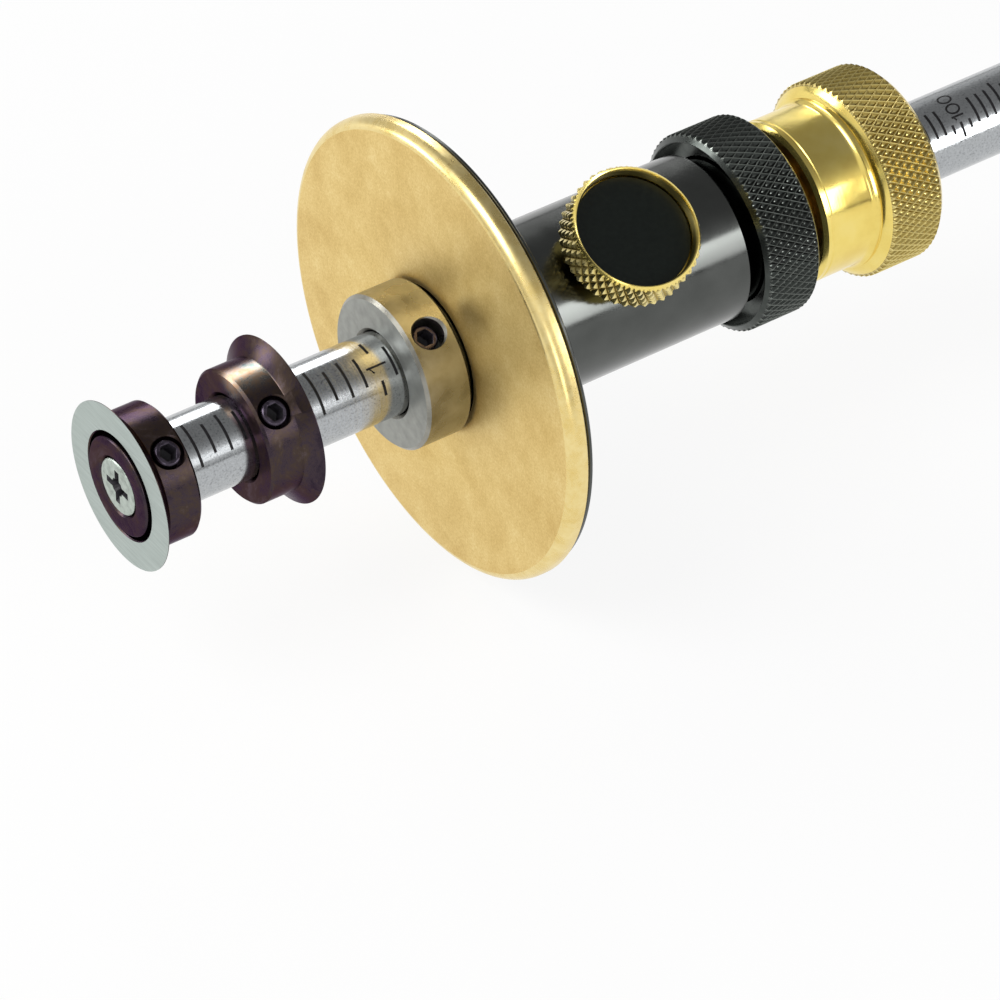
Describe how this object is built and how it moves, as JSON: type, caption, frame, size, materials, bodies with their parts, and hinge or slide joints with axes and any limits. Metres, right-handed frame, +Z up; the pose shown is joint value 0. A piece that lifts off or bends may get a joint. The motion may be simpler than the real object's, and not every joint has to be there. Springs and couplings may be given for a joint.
{
  "type": "marking gauge",
  "caption": "Wheel marking gauge: disc cutters and a stop collar on a round graduated rod, with a sliding brass-faced fence, side lock knob, fine adjuster ring and rear clamp nut.",
  "frame": {"origin": "centre of the rod's rear end face", "axes": "+X along the rod towards its rear end, away from the cutters; +Z up; the lock knob points up and towards -Y"},
  "size_m": [0.2034, 0.0444, 0.0444],
  "materials": {
    "rod_steel": "ground bright",
    "bright_steel": "turned and polished",
    "black_steel": "black oxide",
    "screw_steel": "dark oiled",
    "fence_brass": "satin with a polished rim",
    "brass": "turned bright, knurled",
    "collet_brass": "turned",
    "black_aluminium": "satin black anodised",
    "black_plastic": "semi-gloss black",
    "pad_nylon": "natural nylon",
    "rubber": "moulded"
  },
  "bodies": {
    "rod": {"rod": "rod_steel", "cutter_washer": "black_steel"},
    "cutter_screw": {"cutter_screw": "screw_steel"},
    "front_cutter": {"front_cutter": "black_steel"},
    "front_cutter_set_screw": {"front_cutter_set_screw": "screw_steel"},
    "rear_cutter": {"rear_cutter": "black_steel"},
    "rear_cutter_set_screw": {"rear_cutter_set_screw": "screw_steel"},
    "stop_collar": {"stop_collar": "bright_steel"},
    "stop_collar_set_screw": {"stop_collar_set_screw": "screw_steel"},
    "head": {"fence_plate": "fence_brass", "fence_body": "black_aluminium", "rod_o_ring": "rubber", "guide_pin": "screw_steel"},
    "lock_pad": {"lock_pad": "pad_nylon"},
    "lock_knob": {"lock_knob": "brass", "lock_knob_disc": "black_plastic"},
    "collet": {"collet": "collet_brass", "thrust_washer": "screw_steel", "retaining_ring": "screw_steel"},
    "adjuster_ring": {"adjuster_ring": "black_aluminium"},
    "clamp_nut": {"clamp_nut": "brass"}
  },
  "joints": [
    {"name": "cutter_screw_turn", "type": "hinge", "parent": "rod", "child": "cutter_screw", "pos_m": [-0.2032, 0, 0], "axis": [-1, 0, 0], "range_deg": [0, 720]},
    {"name": "front_cutter_turn", "type": "hinge", "parent": "rod", "child": "front_cutter", "pos_m": [-0.2032, 0, 0], "axis": [1, 0, 0], "continuous": true},
    {"name": "front_set_screw_turn", "type": "hinge", "parent": "front_cutter", "child": "front_cutter_set_screw", "pos_m": [-0.20035, 0, 0], "axis": [0, -0.6018, 0.7986], "range_deg": [0, 720]},
    {"name": "rear_cutter_slide", "type": "slide", "parent": "rod", "child": "rear_cutter", "axis": [1, 0, 0], "range_m": [-0.0069, 0.0055]},
    {"name": "rear_set_screw_turn", "type": "hinge", "parent": "rear_cutter", "child": "rear_cutter_set_screw", "pos_m": [-0.1896, 0, 0], "axis": [0, -0.6561, 0.7547], "range_deg": [0, 720]},
    {"name": "stop_collar_slide", "type": "slide", "parent": "rod", "child": "stop_collar", "axis": [1, 0, 0], "range_m": [-0.0055, 0]},
    {"name": "stop_set_screw_turn", "type": "hinge", "parent": "stop_collar", "child": "stop_collar_set_screw", "pos_m": [-0.17333, 0, 0], "axis": [0, -0.5519, 0.8339], "range_deg": [0, 720]},
    {"name": "fence_slide", "type": "slide", "parent": "rod", "child": "head", "axis": [1, 0, 0], "range_m": [0, 0.11]},
    {"name": "lock_pad_travel", "type": "slide", "parent": "head", "child": "lock_pad", "axis": [0, -0.5373, 0.8434], "range_m": [0, 0.0014]},
    {"name": "lock_knob_turn", "type": "hinge", "parent": "lock_pad", "child": "lock_knob", "pos_m": [-0.15255, 0, 0], "axis": [0, -0.5373, 0.8434], "range_deg": [0, 720]},
    {"name": "collet_travel", "type": "slide", "parent": "head", "child": "collet", "axis": [1, 0, 0], "range_m": [-0.0014, 0.0011]},
    {"name": "adjuster_turn", "type": "hinge", "parent": "collet", "child": "adjuster_ring", "pos_m": [-0.137, 0, 0], "axis": [1, 0, 0], "range_deg": [-680, 540]},
    {"name": "clamp_nut_turn", "type": "hinge", "parent": "collet", "child": "clamp_nut", "pos_m": [-0.125, 0, 0], "axis": [1, 0, 0], "range_deg": [-180, 180]}
  ],
  "couplings": [
    {"joint": "lock_knob_turn", "follows": "lock_pad_travel", "rad_per_m": 8976},
    {"joint": "adjuster_turn", "follows": "collet_travel", "rad_per_m": 8377.6}
  ]
}
